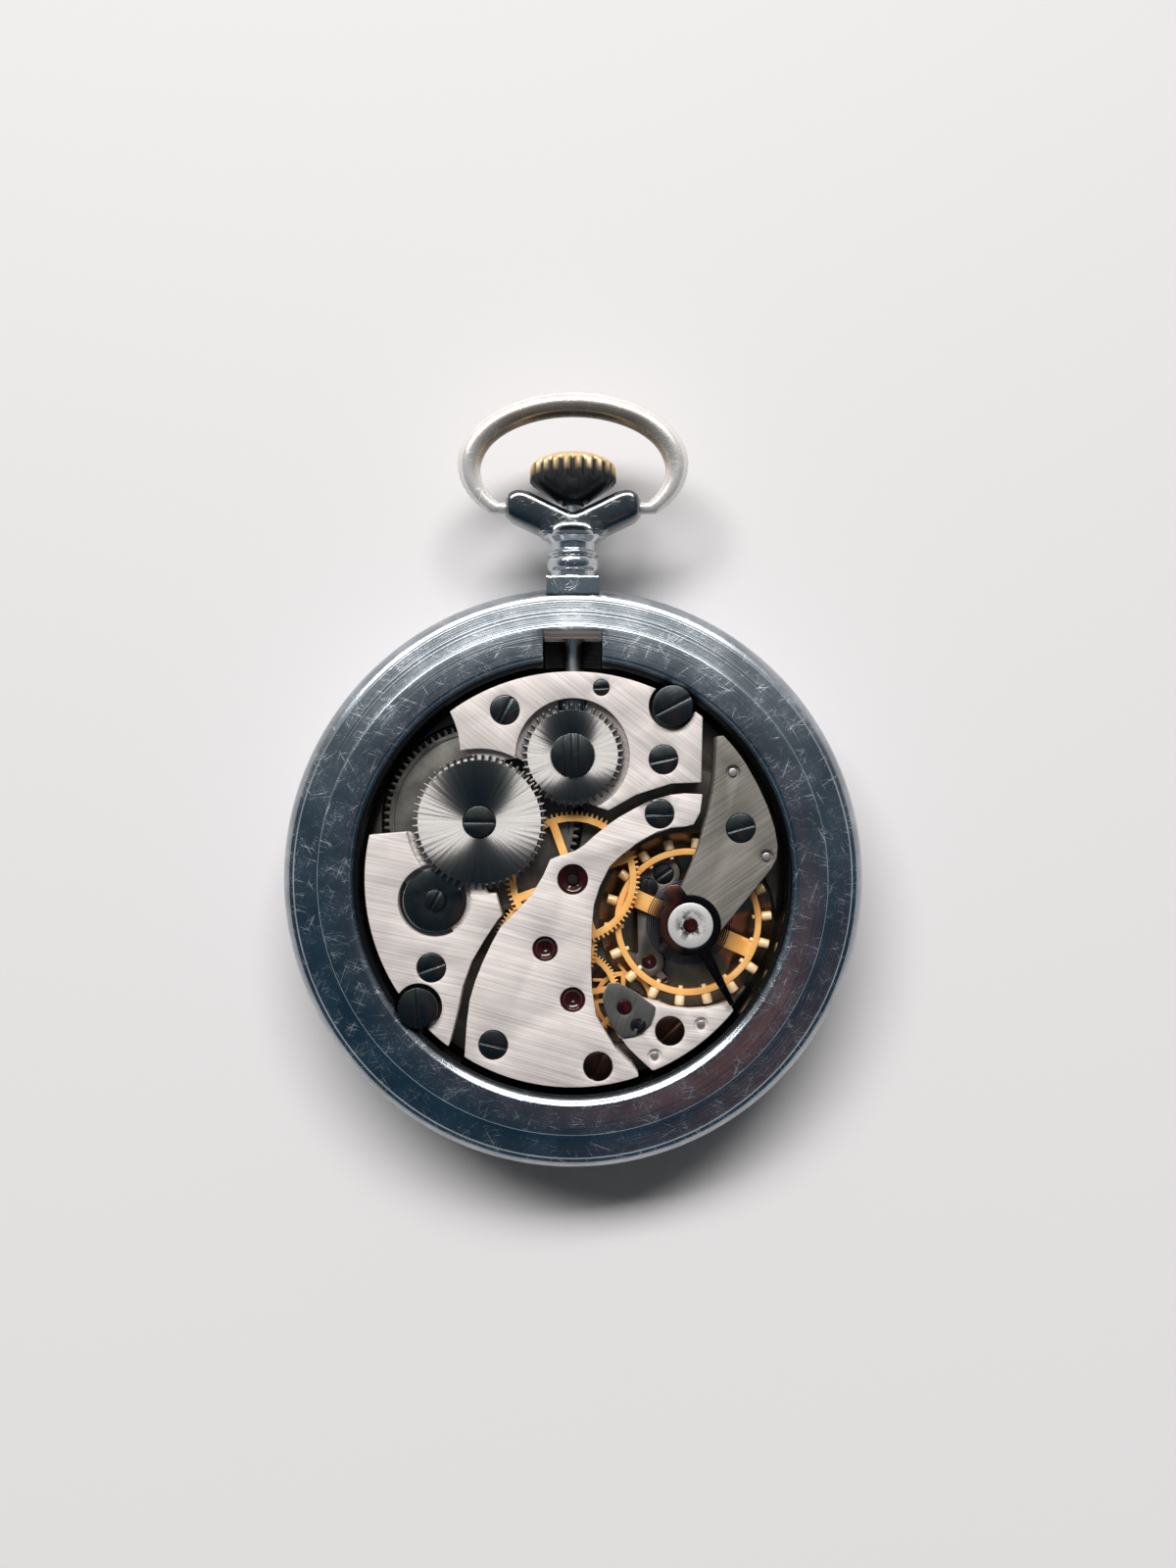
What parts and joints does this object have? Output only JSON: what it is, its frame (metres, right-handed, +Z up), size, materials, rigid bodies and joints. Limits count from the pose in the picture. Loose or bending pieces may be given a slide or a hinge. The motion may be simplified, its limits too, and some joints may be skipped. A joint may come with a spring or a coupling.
{
  "type": "pocket watch movement",
  "caption": "Pocket watch lying face down with its case back off: jewelled lever movement with bridges, winding wheels and balance in a round case with pendant, crown and bow.",
  "frame": {"origin": "middle of the crystal's flat outer face, on which the watch rests face down", "axes": "+Z up through the movement to the open back, +Y to the crown, +X to the picture's right"},
  "size_m": [0.0504, 0.0677, 0.0102],
  "materials": {
    "case_steel": "polished, finely scratched",
    "crystal": "clear",
    "crown_brass": "worn plating",
    "nickel": "nickel plated, fine brushed lines",
    "cock_grey": "dark grey, scratched",
    "dark_steel": "black polished",
    "bright_steel": "polished steel",
    "spring_steel": "blued",
    "gilt_brass": "gilt",
    "ruby": "polished ruby",
    "dial_white": "white lacquer",
    "hand_blue": "blued"
  },
  "bodies": {
    "case": {"case_middle": "case_steel", "pendant": "case_steel", "bezel": "case_steel", "crystal": "crystal", "case_screws": "dark_steel", "main_plate": "nickel", "barrel_bridge": "nickel", "train_bridge": "nickel", "escape_bridge": "nickel", "pallet_bridge": "nickel", "balance_cock": "cock_grey", "bridge_screws": "dark_steel", "small_screws": "dark_steel", "dowel_pins": "nickel", "train_jewels": "ruby", "escapement_jewels": "ruby", "escape_endstone_plate": "cock_grey", "balance_jewel_setting": "nickel", "crown_wheel_screw": "dark_steel", "click_screw": "dark_steel", "click_spring": "dark_steel", "hairspring": "spring_steel", "hairspring_stud": "bright_steel", "dial": "dial_white"},
    "bow": {"bow": "case_steel"},
    "winding": {"winding_pinion": "bright_steel"},
    "stem": {"crown": "crown_brass", "winding_stem": "bright_steel"},
    "clutch": {"sliding_pinion": "bright_steel"},
    "lever": {"setting_lever": "bright_steel"},
    "yoke": {"yoke": "bright_steel"},
    "crown_wheel": {"crown_wheel": "bright_steel"},
    "ratchet": {"ratchet_wheel": "bright_steel", "ratchet_screw": "dark_steel", "barrel_arbor": "bright_steel"},
    "click": {"click": "dark_steel"},
    "barrel": {"barrel_drum": "gilt_brass", "barrel_cover": "nickel", "mainspring": "spring_steel"},
    "centre": {"centre_wheel": "gilt_brass", "centre_pinion": "bright_steel", "cannon_pinion": "bright_steel", "minute_hand": "hand_blue"},
    "third": {"third_wheel": "gilt_brass", "third_pinion": "bright_steel"},
    "fourth": {"fourth_wheel": "gilt_brass", "fourth_pinion": "bright_steel", "seconds_hand": "hand_blue"},
    "escape": {"escape_wheel": "gilt_brass", "escape_pinion": "bright_steel"},
    "minute": {"minute_wheel": "gilt_brass"},
    "setting": {"setting_wheel": "bright_steel"},
    "hour": {"hour_wheel": "gilt_brass", "hour_hand": "hand_blue"},
    "pallet": {"pallet_fork": "bright_steel", "pallet_stones": "ruby"},
    "balance": {"balance_wheel": "gilt_brass", "balance_screws": "gilt_brass", "balance_staff": "bright_steel"},
    "regulator": {"regulator": "dark_steel"}
  },
  "joints": [
    {"name": "bow_swing", "type": "hinge", "parent": "case", "child": "bow", "pos_m": [0, 0.0323, 0.0064], "axis": [1, 0, 0], "range_deg": [-100, 100]},
    {"name": "crown_turn", "type": "hinge", "parent": "case", "child": "winding", "pos_m": [0, 0.015, 0.0064], "axis": [0, 1, 0], "continuous": true},
    {"name": "crown_pull", "type": "slide", "parent": "winding", "child": "stem", "axis": [0, 1, 0], "range_m": [0, 0.001]},
    {"name": "clutch_slide", "type": "slide", "parent": "winding", "child": "clutch", "axis": [0, 1, 0], "range_m": [-0.0007, 0]},
    {"name": "setting_lever_turn", "type": "hinge", "parent": "case", "child": "lever", "pos_m": [0.00245, 0.01637, 0.008], "axis": [0, 0, 1], "range_deg": [-24.5, 0]},
    {"name": "yoke_turn", "type": "hinge", "parent": "case", "child": "yoke", "pos_m": [-0.0042, 0.0121, 0.008], "axis": [0, 0, 1], "range_deg": [-9.6, 0]},
    {"name": "crown_wheel_turn", "type": "hinge", "parent": "case", "child": "crown_wheel", "pos_m": [0, 0.0106, 0.008], "axis": [0, 0, 1], "continuous": true},
    {"name": "ratchet_turn", "type": "hinge", "parent": "case", "child": "ratchet", "pos_m": [-0.00795, 0.00493, 0.008], "axis": [0, 0, 1], "continuous": true},
    {"name": "click_lift", "type": "hinge", "parent": "case", "child": "click", "pos_m": [-0.0118, -0.00184, 0.008], "axis": [0, 0, 1], "range_deg": [-7, 0], "stiffness_Nm_per_rad": 0.00001},
    {"name": "fourth_turn", "type": "hinge", "parent": "case", "child": "fourth", "pos_m": [0, -0.01028, 0.008], "axis": [0, 0, 1], "continuous": true},
    {"name": "third_turn", "type": "hinge", "parent": "case", "child": "third", "pos_m": [-0.00236, -0.00593, 0.008], "axis": [0, 0, 1], "continuous": true},
    {"name": "centre_turn", "type": "hinge", "parent": "case", "child": "centre", "pos_m": [0, 0, 0.008], "axis": [0, 0, 1], "continuous": true},
    {"name": "barrel_turn", "type": "hinge", "parent": "case", "child": "barrel", "pos_m": [-0.00795, 0.00493, 0.008], "axis": [0, 0, 1], "continuous": true},
    {"name": "escape_turn", "type": "hinge", "parent": "case", "child": "escape", "pos_m": [0.00441, -0.0109, 0.008], "axis": [0, 0, 1], "continuous": true},
    {"name": "minute_wheel_turn", "type": "hinge", "parent": "case", "child": "minute", "pos_m": [0.002, 0.0037, 0.008], "axis": [0, 0, 1], "continuous": true},
    {"name": "setting_wheel_turn", "type": "hinge", "parent": "case", "child": "setting", "pos_m": [0.00032, 0.00831, 0.008], "axis": [0, 0, 1], "continuous": true},
    {"name": "hour_turn", "type": "hinge", "parent": "case", "child": "hour", "pos_m": [0, 0, 0.008], "axis": [0, 0, 1], "continuous": true},
    {"name": "pallet_rock", "type": "hinge", "parent": "case", "child": "pallet", "pos_m": [0.00667, -0.00744, 0.008], "axis": [0, 0, 1], "range_deg": [-5, 5]},
    {"name": "balance_swing", "type": "hinge", "parent": "case", "child": "balance", "pos_m": [0.01, -0.00384, 0.008], "axis": [0, 0, 1], "range_deg": [-270, 270], "stiffness_Nm_per_rad": 0.0000038, "deforming": ["hairspring"]},
    {"name": "regulator_turn", "type": "hinge", "parent": "case", "child": "regulator", "pos_m": [0.01, -0.00384, 0.008], "axis": [0, 0, 1], "range_deg": [-15, 15]}
  ],
  "couplings": [
    {"joint": "clutch_slide", "follows": "crown_pull", "ratio": -0.7},
    {"joint": "setting_lever_turn", "follows": "crown_pull", "rad_per_m": -425},
    {"joint": "yoke_turn", "follows": "crown_pull", "rad_per_m": -166.67},
    {"joint": "crown_wheel_turn", "follows": "crown_turn", "ratio": -0.47619},
    {"joint": "ratchet_turn", "follows": "crown_turn", "ratio": 0.35714},
    {"joint": "third_turn", "follows": "fourth_turn", "ratio": -0.13333},
    {"joint": "centre_turn", "follows": "fourth_turn", "ratio": 0.016667},
    {"joint": "barrel_turn", "follows": "fourth_turn", "ratio": -0.0020833},
    {"joint": "escape_turn", "follows": "fourth_turn", "ratio": -10},
    {"joint": "minute_wheel_turn", "follows": "fourth_turn", "ratio": -0.0055556},
    {"joint": "setting_wheel_turn", "follows": "fourth_turn", "ratio": 0.01},
    {"joint": "hour_turn", "follows": "fourth_turn", "ratio": 0.0013889}
  ]
}
